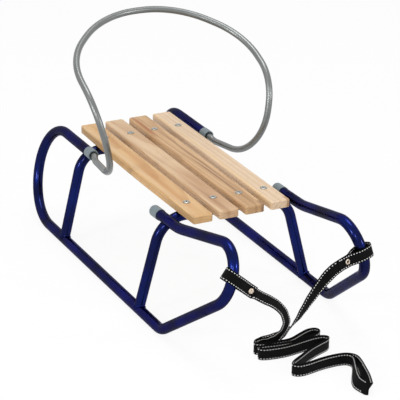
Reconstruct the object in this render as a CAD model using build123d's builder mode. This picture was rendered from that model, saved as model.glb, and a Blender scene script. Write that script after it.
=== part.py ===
from build123d import *
import os
from math import atan, cos, radians, sin, sqrt, tan

# Tubular steel sled with four slats, a plug-in backrest hoop and a pull strap.
# Frame: +X forward, +Y left, +Z up. The origin lies on the floor, under the middle
# of the runners. Every length is in millimetres. A bend share is the part of the
# shorter neighbouring run that the bend takes up.

# Frame tube
tube_d = 22.0
tube_wall = 1.5
tube_r = tube_d / 2
tube_bore_r = tube_r - tube_wall

# Stance: each runner's loop lies in one plane that leans in towards the seat
half_track = 190.8
lean_share = 0.2647
lean = atan(lean_share)

# Runner outline, from the end that takes the backrest round to the capped end
rear_end_x = -212.4
rear_rail_z = 211.0
rear_top_x = -452.8
rear_top_bend_share = 0.494
rear_foot_x = -431.9
rear_foot_bend_share = 0.503
lift_x = 242.8
lift_bend_share = 0.06
nose_x = 454.4
nose_z = 163.9
nose_bend_share = 0.49
crown_x = 423.7
crown_z = 256.0
crown_bend_share = 0.505
knee_x = 209.7
knee_z = 207.3
knee_bend_share = 0.144
front_end_x = 102.0
front_end_z = 203.7

# Arches: legs from the ground tubes up to a cross bar that carries the slats
bar_z = 200.0
front_arch_x = 138.0
rear_arch_x = -255.1
rear_arch_foot_x = -242.4
weld_sink = 0.4

# Slats, laid out between the two rear rails
slat_count = 4
slat_gap = 14.7
seat_side_gap = 18.8
slat_thickness = 17.0
slat_rear_x = -340.4
slat_front_x = 214.0
slat_corner = 5.0
slat_edge_round = 3.0
slat_foot_bevel = 1.0
outer_slat_bow = 4.4

# Plastic caps slipped over the runners' front ends
cap_d = 24.0
cap_grip = 28.0
cap_end_wall = 3.5
cap_round = 4.5

# Plastic bushes slipped over the rear ends: a sleeve with an open mouth and a long spigot
sleeve_d = 23.6
sleeve_grip = 16.0
sleeve_overhang = 8.0
sleeve_mouth_depth = 6.0
sleeve_round = 0.8
bush_spigot = 52.0

# Backrest hoop, pushed into the bushes
hoop_d = 14.0
hoop_fit = 0.05
hoop_insert = 47.0
hoop_toe_x = -199.0
hoop_toe_bend_share = 0.4
hoop_heel_x = -186.1
hoop_heel_y = 141.7
hoop_heel_z = 205.5
hoop_heel_bend_share = 0.49
hoop_dip_x = -80.4
hoop_dip_y = 155.7
hoop_dip_z = 213.0
hoop_dip_bend_share = 0.49
hoop_rise_x = -25.8
hoop_rise_y = 180.2
hoop_rise_z = 281.5
hoop_rise_bend_share = 0.495
hoop_shoulder_x = -48.7
hoop_shoulder_y = 204.2
hoop_shoulder_z = 386.1
hoop_shoulder_bend_share = 0.495
hoop_crest_x = -175.2
hoop_crest_y = 202.5
hoop_crest_z = 444.3
hoop_crest_bend_share = 0.495
hoop_top_x = -278.9
hoop_top_y = 85.6
hoop_top_z = 494.1
hoop_top_bend_share = 0.49

# Pull strap: flat webbing, a riveted loop round each runner and two long strands
strap_width = 25.0
strap_thickness = 2.2
strap_bend_share = 0.45
strap_lift = 0.5
loop_place_share = 0.7814
loop_play = 1.6
loop_slack = 7.0
loop_stub_back = 7.0
loop_stub_front = 13.5

os.makedirs("parts", exist_ok=True)

# Shared places
sides = [("right", -1), ("left", 1)]
seat_z = bar_z + tube_r
strap_floor_z = strap_width / 2 + strap_lift


def loop_y(z):
    """Distance of a runner's middle line from the sled's middle plane, at a height."""
    return half_track - lean_share * (z - tube_r)


def runner_plane(side):
    """Plane of one runner's loop: origin on the ground tube, local Y up the lean."""
    return Plane(
        origin=(0, side * half_track, tube_r),
        x_dir=(1, 0, 0),
        z_dir=(0, -cos(lean), -side * sin(lean)),
    )


def shoulder_bend(rail_z):
    """Bend radius that lays an arch's shoulder against a rail at the given height."""
    corner = Vector(0, loop_y(bar_z), bar_z)
    offset_from_rail = corner - Vector(0, loop_y(rail_z), rail_z)
    down_leg = Vector(0, sin(lean), -cos(lean))
    along_bar = Vector(0, -1, 0)
    inward = (down_leg + along_bar).normalized()
    reach = 1 / sin(radians(down_leg.get_angle(along_bar)) / 2)
    gap = tube_d - weld_sink
    a = reach * reach - 1
    b = 2 * (reach * offset_from_rail.dot(inward) - gap)
    c = offset_from_rail.dot(offset_from_rail) - gap * gap
    return (-b + sqrt(b * b - 4 * a * c)) / (2 * a)


def route_bends(points, shares):
    """Bend radius at each inner point of a route, from its shorter run and a share."""
    spots = [Vector(*point) for point in points]
    bends = []
    for before, here, after, share in zip(spots, spots[1:], spots[2:], shares):
        arriving = here - before
        leaving = after - here
        half_turn = radians(arriving.get_angle(leaving)) / 2
        bends.append(share * min(arriving.length, leaving.length) / tan(half_turn))
    return bends


# Runners: one bent tube each. Columns: forward place, height, bend share
runner_corners = [
    (rear_top_x, rear_rail_z, rear_top_bend_share),
    (rear_foot_x, tube_r, rear_foot_bend_share),
    (lift_x, tube_r, lift_bend_share),
    (nose_x, nose_z, nose_bend_share),
    (crown_x, crown_z, crown_bend_share),
    (knee_x, knee_z, knee_bend_share),
]
runner_corner_places = [(x, z) for x, z, share in runner_corners]
runner_places = [(rear_end_x, rear_rail_z), *runner_corner_places, (front_end_x, front_end_z)]
runner_outline = [(x, (z - tube_r) / cos(lean)) for x, z in runner_places]
runner_bends = route_bends(runner_outline, [share for x, z, share in runner_corners])
runner_lines = {}
for name, side in sides:
    with BuildLine(runner_plane(side)) as outline:
        FilletPolyline(*runner_outline, radius=runner_bends)
    runner_lines[name] = outline.line
    rear_end = Plane(origin=outline.line @ 0, z_dir=outline.line % 0)
    with BuildPart() as bar:
        with BuildSketch(rear_end):
            Circle(tube_r)
        sweep(path=outline.line)
    if name == "right":
        right_bar = bar.part
    with BuildPart() as runner:
        add(bar.part)
        with BuildSketch(rear_end):
            Circle(tube_bore_r)
        extrude(amount=bush_spigot, mode=Mode.SUBTRACT)
    runner.part.label = "runner_" + name
    export_step(runner.part, "parts/runner_" + name + ".step")

# Arches: one bent tube each, drawn as the right half, coped to its runner, and mirrored
arches = [
    ("front", front_arch_x, front_arch_x, shoulder_bend(knee_z)),
    ("rear", rear_arch_x, rear_arch_foot_x, shoulder_bend(rear_rail_z)),
]
for name, bar_x, foot_x, bend in arches:
    with BuildLine() as half_span:
        FilletPolyline(
            (foot_x, -half_track, tube_r),
            (bar_x, -loop_y(bar_z), bar_z),
            (bar_x, 0, bar_z),
            radius=bend,
        )
    with BuildPart() as arch:
        with BuildSketch(Plane(origin=half_span.line @ 0, z_dir=half_span.line % 0)):
            Circle(tube_r)
        sweep(path=half_span.line)
        add(right_bar, mode=Mode.SUBTRACT)
        mirror(about=Plane.XZ)
    arch.part.label = "arch_" + name
    export_step(arch.part, "parts/arch_" + name + ".step")

# Slats: rounded boards that lie across both arch bars; the right outer one is bowed
seat_width = 2 * (loop_y(rear_rail_z) - tube_r - seat_side_gap)
slat_width = (seat_width - (slat_count - 1) * slat_gap) / slat_count
slat_pitch = slat_width + slat_gap
slat_middle_x = (slat_rear_x + slat_front_x) / 2
slat_rows = [(row - (slat_count - 1) / 2) * slat_pitch for row in range(slat_count)]
slat_bows = [outer_slat_bow] + [0] * (slat_count - 1)
for number, (y, bow) in enumerate(zip(slat_rows, slat_bows), start=1):
    low_y = y - slat_width / 2
    high_y = y + slat_width / 2
    with BuildPart() as slat:
        with BuildSketch(Plane.XY.offset(seat_z)) as plan:
            with BuildLine():
                for edge_y in (low_y, high_y):
                    if bow:
                        bowed_middle = (slat_middle_x, edge_y - bow)
                        ThreePointArc((slat_rear_x, edge_y), bowed_middle, (slat_front_x, edge_y))
                    else:
                        Line((slat_rear_x, edge_y), (slat_front_x, edge_y))
                for end_x in (slat_rear_x, slat_front_x):
                    Line((end_x, low_y), (end_x, high_y))
            make_face()
            fillet(plan.vertices(), slat_corner)
        extrude(amount=slat_thickness)
        fillet(slat.faces().sort_by(Axis.Z)[-1].edges(), slat_edge_round)
        chamfer(slat.faces().sort_by(Axis.Z)[0].edges(), slat_foot_bevel)
    slat.part.label = "slat_" + str(number)
    export_step(slat.part, "parts/slat_" + str(number) + ".step")

# Caps close the front ends; bushes line the rear ends for the backrest
hoop_bore_r = hoop_d / 2 + hoop_fit
for name, side in sides:
    tube_line = runner_lines[name]
    front_end = Plane(origin=tube_line @ 1, z_dir=tube_line % 1)
    with BuildPart() as plug:
        with BuildSketch(front_end.offset(cap_end_wall)):
            Circle(cap_d / 2)
        extrude(amount=-(cap_end_wall + cap_grip))
        fillet(plug.edges().sort_by(Axis(front_end.origin, front_end.z_dir))[-1], cap_round)
        with BuildSketch(front_end):
            Circle(tube_r)
        extrude(amount=-cap_grip, mode=Mode.SUBTRACT)
    plug.part.label = "plug_" + name
    export_step(plug.part, "parts/plug_" + name + ".step")

    rear_end = Plane(origin=tube_line @ 0, z_dir=(tube_line % 0) * -1)
    rear_mouth = rear_end.offset(sleeve_overhang)
    with BuildPart() as bush:
        with BuildSketch(rear_mouth):
            Circle(sleeve_d / 2)
        extrude(amount=-(sleeve_overhang + sleeve_grip))
        fillet(bush.edges().sort_by(Axis(rear_mouth.origin, rear_mouth.z_dir))[-1], sleeve_round)
        with BuildSketch(rear_end):
            Circle(tube_r)
        extrude(amount=-sleeve_grip, mode=Mode.SUBTRACT)
        with BuildSketch(rear_end):
            Circle(tube_bore_r)
        extrude(amount=-bush_spigot)
        with BuildSketch(rear_mouth):
            Circle(tube_bore_r)
        extrude(amount=-sleeve_mouth_depth, mode=Mode.SUBTRACT)
        with BuildSketch(rear_mouth):
            Circle(hoop_bore_r)
        extrude(amount=-(sleeve_overhang + bush_spigot), mode=Mode.SUBTRACT)
    bush.part.label = "bush_" + name
    export_step(bush.part, "parts/bush_" + name + ".step")

# Backrest hoop. Columns: forward place, distance to the side, height, bend share
hoop_start_x = rear_end_x - hoop_insert
hoop_corners = [
    (hoop_toe_x, loop_y(rear_rail_z), rear_rail_z, hoop_toe_bend_share),
    (hoop_heel_x, hoop_heel_y, hoop_heel_z, hoop_heel_bend_share),
    (hoop_dip_x, hoop_dip_y, hoop_dip_z, hoop_dip_bend_share),
    (hoop_rise_x, hoop_rise_y, hoop_rise_z, hoop_rise_bend_share),
    (hoop_shoulder_x, hoop_shoulder_y, hoop_shoulder_z, hoop_shoulder_bend_share),
    (hoop_crest_x, hoop_crest_y, hoop_crest_z, hoop_crest_bend_share),
    (hoop_top_x, hoop_top_y, hoop_top_z, hoop_top_bend_share),
]
hoop_shares = [share for x, y, z, share in hoop_corners]
hoop_route = [
    (hoop_start_x, -loop_y(rear_rail_z), rear_rail_z),
    *[(x, -y, z) for x, y, z, share in hoop_corners],
    *[(x, y, z) for x, y, z, share in reversed(hoop_corners)],
    (hoop_start_x, loop_y(rear_rail_z), rear_rail_z),
]
with BuildLine() as hoop_line:
    FilletPolyline(*hoop_route, radius=route_bends(hoop_route, hoop_shares + hoop_shares[::-1]))
with BuildPart() as backrest:
    with BuildSketch(Plane(origin=hoop_line.line @ 0, z_dir=hoop_line.line % 0)):
        Circle(hoop_d / 2)
    sweep(path=hoop_line.line)
backrest.part.label = "backrest"
export_step(backrest.part, "parts/backrest.step")

# Strap routes, hand-chosen points: the rivet of the loop round the runner, the hanging
# stretch from there, then the folds on the floor out to the handle
rivet_places = {"right": (448, -105, 169), "left": (452, 101, 191)}
strap_hang = {
    "right": [
        (447, -76, 147), (445, -61, 138), (443, -40, 121), (440, -25, 101), (435, -18, 81),
        (426, -15, 63), (412, -17, 44), (397, -21, 28), (383, -30, 15),
    ],
    "left": [
        (452, 76, 185), (449, 64, 171), (443, 47, 145), (438, 32, 120), (432, 21, 96),
        (424, 13, 73), (413, 5, 52), (400, -6, 33), (384, -23, 16),
    ],
}
strap_floor = {
    "right": [
        (379.9, -44.9), (386.4, -56.9), (394.9, -59.9), (400.9, -45.4), (403.9, -18.9),
        (406.9, 8.6), (394.4, 34.1), (382.9, 61.1), (386.9, 80.1), (405.4, 78.6),
        (414.9, 51.6), (419.9, 17.1), (419.4, -18.9), (413, -46.9), (411, -63),
        (421.5, -60), (424.5, -40), (427, -8.9), (422, 22.6), (418, 46.6), (417.4, 68.6),
        (428, 83.6), (440, 75.5), (448.9, 51.1), (461.4, 22.1), (479.4, -5.9),
        (491.4, -27.9), (500.9, -36.4), (508.9, -28.4), (506.9, -5.4), (500.9, 25.1),
        (499.9, 57.1), (504.4, 80.1), (519.9, 92.1), (543.9, 86.1), (564.9, 78.1),
        (589.9, 71.6), (611.9, 66.1), (627.9, 60.6),
    ],
    "left": [
        (376.9, -42.9), (382.9, -58.9), (395.9, -64.9), (404.4, -45.9), (407.9, -18.9),
        (410.9, 9.6), (397.4, 36.1), (386.9, 61.1), (388.4, 77.6), (403.4, 78.1),
        (409.9, 51.1), (415.9, 17.1), (415.4, -18.9), (409, -46.9), (409, -66),
        (422.5, -65), (428.5, -39), (431, -8.9), (426, 23.6), (422, 47.6), (421.9, 66.6),
        (427.6, 79), (438, 73.5), (445.4, 52.6), (458.4, 20.1), (476.4, -7.9),
        (488.4, -29.9), (500.9, -41.4), (512.9, -29.4), (510.9, -4.4), (504.9, 25.1),
        (503.9, 57.1), (507.4, 76.6), (519.9, 83.6), (540.9, 73.1), (561.9, 61.1),
        (583.9, 52.1), (605.9, 48.6), (625.9, 55.1),
    ],
}

loop_inner_r = tube_r + loop_play
loop_outer_r = loop_inner_r + strap_thickness
pinch_r = strap_thickness / 2
for name, side in sides:
    # Riveted loop round the runner: a teardrop that closes on the doubled stub
    tube_line = runner_lines[name]
    ring_middle = tube_line @ loop_place_share
    along = tube_line % loop_place_share
    towards = Vector(*rivet_places[name]) - ring_middle
    rivet_reach = towards.length
    towards = towards.normalized()
    across = (along - towards * along.dot(towards)).normalized()
    loop_plane = Plane(origin=ring_middle, x_dir=towards, z_dir=across)
    stub_start = rivet_reach - loop_stub_back
    stub_length = loop_stub_back + loop_stub_front
    with BuildPart() as strap_loop:
        with BuildSketch(loop_plane):
            with Locations([(-loop_slack, 0), (loop_slack, 0)]):
                Circle(loop_outer_r)
            with Locations([(stub_start, 0)]):
                Circle(strap_thickness)
            make_hull()
            with Locations([(stub_start + stub_length / 2, 0)]):
                Rectangle(stub_length, 2 * strap_thickness)
        extrude(amount=strap_width / 2, both=True)
        with BuildSketch(loop_plane):
            with Locations([(-loop_slack, 0), (loop_slack, 0)]):
                Circle(loop_inner_r)
            with Locations([(stub_start - strap_thickness, 0)]):
                Circle(pinch_r)
            make_hull()
        extrude(amount=strap_width / 2, both=True, mode=Mode.SUBTRACT)
    strap_loop.part.label = "strap_loop_" + name
    export_step(strap_loop.part, "parts/strap_loop_" + name + ".step")

    # Long strand: from the loop's stub down to the floor, and through the folds
    strand_start = loop_plane.from_local_coords((stub_start + stub_length, 0, 0))
    floor_points = [(x, y, strap_floor_z) for x, y in strap_floor[name]]
    touch_down = (Vector(*strap_hang[name][-1]) + Vector(*floor_points[0])) / 2
    hang_route = [tuple(touch_down), *strap_hang[name][::-1], tuple(strand_start)]
    floor_route = [tuple(touch_down), *floor_points]
    strand_length = 0
    with BuildPart() as strand:
        for route in (floor_route, hang_route):
            bends = route_bends(route, [strap_bend_share] * len(route))
            with BuildLine() as stretch:
                FilletPolyline(*route, radius=bends)
            start_plane = Plane(origin=stretch.line @ 0, x_dir=(0, 0, 1), z_dir=stretch.line % 0)
            with BuildSketch(start_plane):
                Rectangle(strap_width, strap_thickness)
            sweep(path=stretch.line)
            strand_length += sum(edge.length for edge in stretch.line.edges())
            print(name, "strand bend radii", [round(bend, 1) for bend in bends])
    print(name, "strand length", round(strand_length, 1))
    strand.part.label = "strap_" + name
    export_step(strand.part, "parts/strap_" + name + ".step")
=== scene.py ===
"""A child's tubular sled: slatted seat, plug-in backrest hoop and a webbing pull strap.

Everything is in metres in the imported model's frame: +X forward, +Y to the left, +Z up,
with the origin on the floor under the middle of the runners.
"""

import logging
import math
import random
from dataclasses import dataclass, field
from enum import Enum
from typing import Iterable, Optional, Sequence, Union

import bpy
from mathutils import Matrix, Vector


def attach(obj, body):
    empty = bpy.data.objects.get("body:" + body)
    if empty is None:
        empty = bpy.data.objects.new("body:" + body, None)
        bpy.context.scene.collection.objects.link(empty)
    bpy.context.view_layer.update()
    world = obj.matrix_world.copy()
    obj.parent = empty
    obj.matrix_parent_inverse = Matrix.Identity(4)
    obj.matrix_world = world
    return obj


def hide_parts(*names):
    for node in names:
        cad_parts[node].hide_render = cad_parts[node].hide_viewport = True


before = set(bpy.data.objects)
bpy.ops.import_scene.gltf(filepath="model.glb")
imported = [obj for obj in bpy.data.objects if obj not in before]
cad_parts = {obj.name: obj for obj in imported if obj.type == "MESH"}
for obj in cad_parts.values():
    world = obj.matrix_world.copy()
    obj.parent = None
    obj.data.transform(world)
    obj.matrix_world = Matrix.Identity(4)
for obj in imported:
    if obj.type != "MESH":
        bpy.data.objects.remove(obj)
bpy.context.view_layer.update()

LOG = logging.getLogger("sled")
MM = 0.001
UP = Vector((0.0, 0.0, 1.0))
TOWARDS_CAMERA = Vector((0.82, -0.42, 0.39))
# Edges sharper than these many degrees stay sharp.
FLAT_ANGLE = 40.0
BEVEL_ANGLE = 35.0
RIVET_ANGLE = 50.0
CLOTH_ANGLE = 60.0
BEAD_ANGLE = 80.0
Pair = tuple[float, float]
Triple = tuple[float, float, float]
Colour = tuple[float, float, float]
Faces = list[tuple[int, ...]]
Shape = tuple[list[Vector], Faces]


class Slot(Enum):
    """Names of material slots, which nothing in this script uses."""

    FRAME = "frame_paint"
    WOOD = "slat_wood"
    WEBBING = "strap_webbing"


class Body(Enum):
    """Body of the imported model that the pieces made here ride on."""

    SLED = "sled"


# ---- Shader helpers


class Wire:
    """A shader value that Python's operators work on by adding Math nodes."""

    def __init__(self, graph: "Graph", socket: bpy.types.NodeSocket) -> None:
        """Keep the socket and the graph it is in."""
        self.graph = graph
        self.socket = socket

    def math(self, operation: str, *values: "Feed") -> "Wire":
        """Add one Math node with Blender's name of its operation and its inputs in order."""
        inputs = dict(enumerate(values))
        return self.graph.add("ShaderNodeMath", {"operation": operation}, inputs).out(0)

    def __add__(self, other: "Feed") -> "Wire":
        """Sum."""
        return self.math("ADD", self, other)

    def __radd__(self, other: "Feed") -> "Wire":
        """Sum, with the value on the right."""
        return self.math("ADD", other, self)

    def __sub__(self, other: "Feed") -> "Wire":
        """Difference."""
        return self.math("SUBTRACT", self, other)

    def __rsub__(self, other: "Feed") -> "Wire":
        """Difference, with the value on the right."""
        return self.math("SUBTRACT", other, self)

    def __mul__(self, other: "Feed") -> "Wire":
        """Product."""
        return self.math("MULTIPLY", self, other)

    def __rmul__(self, other: "Feed") -> "Wire":
        """Product, with the value on the right."""
        return self.math("MULTIPLY", other, self)

    def __truediv__(self, other: "Feed") -> "Wire":
        """Quotient."""
        return self.math("DIVIDE", self, other)

    def __rtruediv__(self, other: "Feed") -> "Wire":
        """Quotient, with the value below."""
        return self.math("DIVIDE", other, self)

    def __pow__(self, other: "Feed") -> "Wire":
        """Power."""
        return self.math("POWER", self, other)

    def __rpow__(self, other: "Feed") -> "Wire":
        """Power, with the value as the exponent."""
        return self.math("POWER", other, self)

    def sine(self) -> "Wire":
        """Sine of the value in radians."""
        return self.math("SINE", self)

    def size(self) -> "Wire":
        """Value without its sign."""
        return self.math("ABSOLUTE", self)

    def most(self, other: "Feed") -> "Wire":
        """Larger of two values."""
        return self.math("MAXIMUM", self, other)

    def fraction(self) -> "Wire":
        """Part of the value after its point."""
        return self.math("FRACT", self)

    def step_up(self, span: Pair) -> "Wire":
        """Rise smoothly from 0 to 1.

        Args:
            span: Where the rise starts and ends.

        Returns:
            The eased value.
        """
        settings = {"interpolation_type": "SMOOTHSTEP"}
        node = self.graph.add("ShaderNodeMapRange", settings, {0: self, 1: span[0], 2: span[1]})
        return node.out(0)


Feed = Union[Wire, float, tuple]


@dataclass(frozen=True)
class Grain:
    """Size and depth of a noise: cells to a metre, octaves and their falloff."""

    cells: float
    octaves: float = 2.0
    falloff: float = 0.5


class Node:
    """A node of a graph, read by its output sockets."""

    def __init__(self, graph: "Graph", node: bpy.types.Node) -> None:
        """Keep the node and its graph."""
        self.graph = graph
        self.node = node

    def out(self, socket: Union[int, str]) -> Wire:
        """Give one output as a wire."""
        return Wire(self.graph, self.node.outputs[socket])


class Graph:
    """The node tree of one material or of the world."""

    def __init__(self, name: str, tree: Optional[bpy.types.NodeTree] = None) -> None:
        """Start with no nodes.

        Args:
            name: Name of the new material.
            tree: Node tree that is filled instead of a new material's.
        """
        if tree is None:
            self.material = bpy.data.materials.new(name)
            self.material.use_nodes = True
            tree = self.material.node_tree
        self.tree = tree
        self.tree.nodes.clear()

    def add(self, kind: str, settings: dict, inputs: dict) -> Node:
        """Add one node.

        Args:
            kind: Blender's type name of the node.
            settings: Properties of the node, set before its inputs.
            inputs: Values or wires by socket name or number.

        Returns:
            The node.
        """
        node = self.tree.nodes.new(kind)
        for key, value in settings.items():
            setattr(node, key, value)
        for key, value in inputs.items():
            if isinstance(value, Wire):
                self.tree.links.new(value.socket, node.inputs[key])
            else:
                node.inputs[key].default_value = value
        return Node(self, node)

    def place(self, scale: Triple = (1.0, 1.0, 1.0), shift: Triple = (0.0, 0.0, 0.0)) -> Wire:
        """Give object coordinates in metres.

        Args:
            scale: How far they are stretched.
            shift: How far they are shifted.

        Returns:
            The coordinates.
        """
        spot = self.add("ShaderNodeTexCoord", {}, {}).out("Object")
        inputs = {"Vector": spot, "Scale": scale, "Location": shift}
        return self.add("ShaderNodeMapping", {}, inputs).out("Vector")

    def axes(self, spot: Wire) -> tuple[Wire, Wire, Wire]:
        """Split a vector into its three values."""
        node = self.add("ShaderNodeSeparateXYZ", {}, {"Vector": spot})
        return node.out("X"), node.out("Y"), node.out("Z")

    def noise(self, spot: Wire, grain: Grain) -> Wire:
        """Add even noise.

        Args:
            spot: Coordinates that it is read at.
            grain: Its size and depth.

        Returns:
            The noise, from 0 to 1.
        """
        inputs = {
            "Vector": spot,
            "Scale": grain.cells,
            "Detail": grain.octaves,
            "Roughness": grain.falloff,
        }
        return self.add("ShaderNodeTexNoise", {}, inputs).out(0)

    def tint(self, factor: Feed, low: Feed, high: Feed, way: str = "MIX") -> Wire:
        """Mix two colours.

        Args:
            factor: Share of the second colour.
            low: First colour.
            high: Second colour.
            way: Blend type of the Mix node.

        Returns:
            The mixed colour.
        """
        settings = {"data_type": "RGBA", "blend_type": way}
        low = low if isinstance(low, Wire) else (*low, 1.0)
        high = high if isinstance(high, Wire) else (*high, 1.0)
        return self.add("ShaderNodeMix", settings, {0: factor, 6: low, 7: high}).out(2)

    def bump(self, height: Wire, depth: float, strength: float = 1.0) -> Wire:
        """Turn a height from 0 to 1 into a normal, with its depth in metres."""
        inputs = {"Height": height, "Distance": depth, "Strength": strength}
        return self.add("ShaderNodeBump", {}, inputs).out(0)

    def finish(self, **inputs: Feed) -> bpy.types.Material:
        """Close the graph with the Principled shader.

        Args:
            inputs: Values or wires of the shader, with _ for a space in a socket's name.

        Returns:
            The material.
        """
        named = {key.replace("_", " "): value for key, value in inputs.items()}
        for key, value in named.items():
            if isinstance(value, tuple) and len(value) == 3:
                named[key] = (*value, 1.0)
        shader = self.add("ShaderNodeBsdfPrincipled", {}, named)
        self.add("ShaderNodeOutputMaterial", {}, {"Surface": shader.out(0)})
        return self.material


# ---- Finishes


@dataclass(frozen=True)
class BluePaint:
    """Candy-blue metallic paint under a thin clear coat."""

    deep: Colour = (0.0016, 0.0034, 0.034)
    bright: Colour = (0.0016, 0.0100, 0.120)
    edge: Colour = (0.17, 0.17, 0.36)
    roughness: float = 0.24
    coat: float = 0.20
    coat_roughness: float = 0.05
    coat_ior: float = 1.45
    cloud_grain: Grain = Grain(14.0, 3.0)
    cloud_span: Pair = (0.25, 0.8)
    peel_grain: Grain = Grain(420.0, 1.0)
    peel_depth: float = 0.03 * MM
    flake_grain: Grain = Grain(2600.0, 0.0)
    flake_scatter: float = 0.16
    rub_grain: Grain = Grain(70.0, 4.0)
    rub_span: Pair = (0.62, 0.78)
    rub_scatter: float = 0.05
    rub_loss: float = 0.10

    def make(self) -> bpy.types.Material:
        """Build the finish.

        Returns:
            The material.
        """
        graph = Graph("blue_paint")
        spot = graph.place()
        cloud = graph.noise(spot, self.cloud_grain).step_up(self.cloud_span)
        peel = graph.noise(spot, self.peel_grain)
        flake = graph.noise(spot, self.flake_grain)
        rub = graph.noise(spot, self.rub_grain).step_up(self.rub_span)
        rough = self.roughness + (flake - 0.5) * self.flake_scatter + rub * self.rub_scatter
        return graph.finish(
            Base_Color=graph.tint(cloud, self.deep, self.bright),
            Metallic=1.0,
            Roughness=rough,
            Normal=graph.bump(peel, self.peel_depth),
            Specular_Tint=self.edge,
            Coat_Weight=self.coat - rub * self.rub_loss,
            Coat_Roughness=self.coat_roughness,
            Coat_IOR=self.coat_ior,
        )


@dataclass(frozen=True)
class SilverPaint:
    """Satin silver-grey paint of the backrest hoop."""

    base: Colour = (0.150, 0.160, 0.158)
    light: Colour = (0.215, 0.225, 0.220)
    metallic: float = 0.85
    roughness: float = 0.34
    coat: float = 0.25
    coat_roughness: float = 0.12
    cloud_grain: Grain = Grain(30.0, 4.0)
    flake_grain: Grain = Grain(3200.0, 0.0)
    flake_share: float = 0.05
    dust_grain: Grain = Grain(1500.0, 1.0)
    dust_scatter: float = 0.15
    dust_depth: float = 0.01 * MM

    def make(self) -> bpy.types.Material:
        """Build the finish.

        Returns:
            The material.
        """
        graph = Graph("silver_paint")
        spot = graph.place()
        cloud = graph.noise(spot, self.cloud_grain)
        flake = graph.noise(spot, self.flake_grain)
        dust = graph.noise(spot, self.dust_grain)
        shade = cloud * (1 - self.flake_share) + flake * self.flake_share
        return graph.finish(
            Base_Color=graph.tint(shade, self.base, self.light),
            Metallic=self.metallic,
            Roughness=self.roughness + (dust - 0.5) * self.dust_scatter,
            Normal=graph.bump(dust, self.dust_depth),
            Coat_Weight=self.coat,
            Coat_Roughness=self.coat_roughness,
        )


@dataclass(frozen=True)
class GreyPlastic:
    """Blue-grey moulded plastic of the caps and bushes."""

    base: Colour = (0.145, 0.185, 0.205)
    worn: Colour = (0.205, 0.250, 0.270)
    roughness: float = 0.44
    cloud_grain: Grain = Grain(60.0, 3.0)
    cloud_share: float = 0.6
    skin_grain: Grain = Grain(1800.0, 2.0)
    skin_scatter: float = 0.2
    skin_depth: float = 0.06 * MM
    scuff_grain: Grain = Grain(260.0, 4.0)
    scuff_span: Pair = (0.56, 0.72)
    scuff_share: float = 0.4
    scuff_scatter: float = 0.12

    def make(self) -> bpy.types.Material:
        """Build the finish.

        Returns:
            The material.
        """
        graph = Graph("grey_plastic")
        spot = graph.place()
        cloud = graph.noise(spot, self.cloud_grain)
        skin = graph.noise(spot, self.skin_grain)
        scuff = graph.noise(spot, self.scuff_grain).step_up(self.scuff_span)
        shade = cloud * self.cloud_share + scuff * self.scuff_share
        rough = self.roughness + (skin - 0.5) * self.skin_scatter + scuff * self.scuff_scatter
        return graph.finish(
            Base_Color=graph.tint(shade, self.base, self.worn),
            Roughness=rough,
            Normal=graph.bump(skin, self.skin_depth),
        )


@dataclass(frozen=True)
class PatchyMetal:
    """Plated metal, bright in some patches and dull in others."""

    name: str
    bright: Colour
    dull: Colour
    grain: Grain
    span: Optional[Pair]
    metallic: float
    roughness: float
    scatter: float

    def make(self) -> bpy.types.Material:
        """Build the finish.

        Returns:
            The material.
        """
        graph = Graph(self.name)
        patches = graph.noise(graph.place(), self.grain)
        if self.span is not None:
            patches = patches.step_up(self.span)
        return graph.finish(
            Base_Color=graph.tint(patches, self.dull, self.bright),
            Metallic=self.metallic,
            Roughness=self.roughness + patches * self.scatter,
        )


SCREW_ZINC = PatchyMetal(
    name="zinc",
    bright=(0.46, 0.47, 0.45),
    dull=(0.26, 0.27, 0.26),
    grain=Grain(500.0, 3.0),
    span=None,
    metallic=1.0,
    roughness=0.2,
    scatter=0.2,
)
RIVET_PLATE = PatchyMetal(
    name="pale_rivet",
    bright=(0.74, 0.70, 0.60),
    dull=(0.42, 0.27, 0.18),
    grain=Grain(420.0, 3.0),
    span=(0.35, 0.6),
    metallic=0.75,
    roughness=0.42,
    scatter=-0.1,
)


@dataclass(frozen=True)
class Webbing:
    """Black woven webbing. U runs along the strap and V across it, in metres."""

    yarn: Colour = (0.0010, 0.0010, 0.0012)
    glint: Colour = (0.0046, 0.0046, 0.0050)
    weft_pitch: float = 1.6 * MM
    warp_pitch: float = 1.25 * MM
    weave_share: float = 0.6
    weave_depth: float = 0.22 * MM
    weave_strength: float = 0.8
    fuzz_grain: Grain = Grain(900.0, 3.0)
    fuzz_share: float = 0.4
    roughness: float = 0.75
    smoothing: float = 0.15
    sheen: float = 0.008
    sheen_roughness: float = 0.4
    specular: float = 0.07

    def make(self) -> bpy.types.Material:
        """Build the finish.

        Returns:
            The material.
        """
        graph = Graph("black_webbing")
        cloth = graph.add("ShaderNodeTexCoord", {}, {}).out("UV")
        along, across, _ = graph.axes(cloth)
        weft = (along * (2 * math.pi / self.weft_pitch)).sine()
        warp = (across * (2 * math.pi / self.warp_pitch)).sine()
        weave = 0.5 + 0.5 * weft * warp
        fuzz = graph.noise(graph.place(), self.fuzz_grain)
        shade = weave * self.weave_share + fuzz * self.fuzz_share
        return graph.finish(
            Base_Color=graph.tint(shade, self.yarn, self.glint),
            Roughness=self.roughness - weave * self.smoothing,
            Normal=graph.bump(weave, self.weave_depth, self.weave_strength),
            Sheen_Weight=self.sheen,
            Sheen_Roughness=self.sheen_roughness,
            Specular_IOR_Level=self.specular,
        )


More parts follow.
